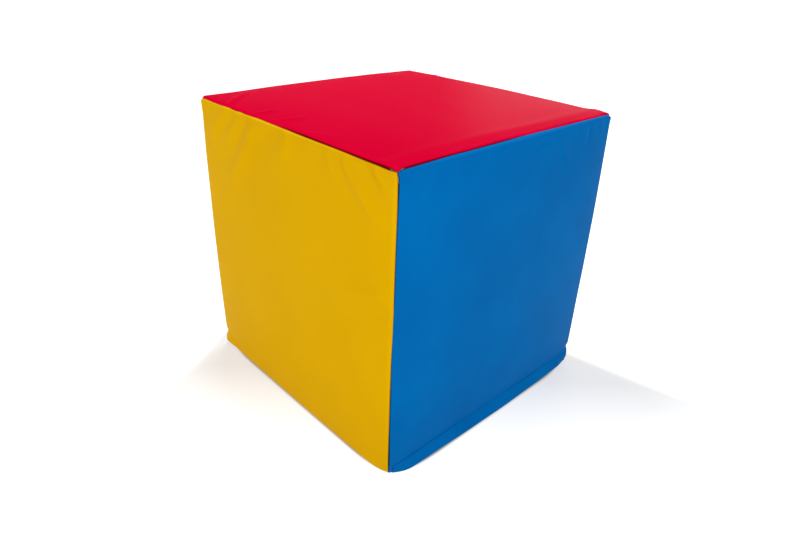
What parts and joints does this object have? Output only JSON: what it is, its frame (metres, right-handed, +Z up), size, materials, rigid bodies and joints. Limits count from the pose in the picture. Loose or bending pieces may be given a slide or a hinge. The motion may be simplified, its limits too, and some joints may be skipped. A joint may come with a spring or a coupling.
{
  "type": "foam cube",
  "caption": "Soft play foam cube in a sewn vinyl cover with a red top, yellow and blue sides, and a zip under a flap along the foot of a blue side.",
  "frame": {"origin": "middle of the underside, where the cube stands", "axes": "+Z up, -Y out of the blue face with the zip, -X out of the yellow face that the picture shows"},
  "size_m": [0.6, 0.6, 0.5995],
  "materials": {
    "foam": "open-cell polyurethane foam, matt",
    "vinyl_red": "leather-grained vinyl cloth, satin",
    "vinyl_yellow": "leather-grained vinyl cloth, satin",
    "vinyl_blue": "leather-grained vinyl cloth, satin",
    "zip_tape": "woven polyester, matt",
    "zip_teeth": "moulded plastic, satin",
    "zip_metal": "nickel-plated zinc, bright"
  },
  "bodies": {
    "cover": {"foam_core": "foam", "panel_top": "vinyl_red", "panel_left": "vinyl_yellow", "panel_front": "vinyl_blue", "panel_right": "vinyl_yellow", "panel_back": "vinyl_blue", "panel_base": "vinyl_red", "zip_tape_upper": "zip_tape", "zip_tape_lower": "zip_tape", "zip_teeth_upper": "zip_teeth", "zip_teeth_lower": "zip_teeth", "top_stop_upper": "zip_metal", "top_stop_lower": "zip_metal", "bottom_stop": "zip_metal", "zip_tab_left": "vinyl_blue", "zip_tab_right": "vinyl_blue"},
    "flap": {"zip_flap": "vinyl_blue"},
    "slider": {"zip_slider_front": "zip_metal", "zip_slider_back": "zip_metal"}
  },
  "joints": [
    {"name": "flap_fold", "type": "hinge", "parent": "cover", "child": "flap", "pos_m": [0, -0.2944, 0.026], "axis": [-1, 0, 0], "range_deg": [0, 120]},
    {"name": "zip_slide", "type": "slide", "parent": "cover", "child": "slider", "axis": [-1, 0, 0], "range_m": [0, 0.489]}
  ]
}
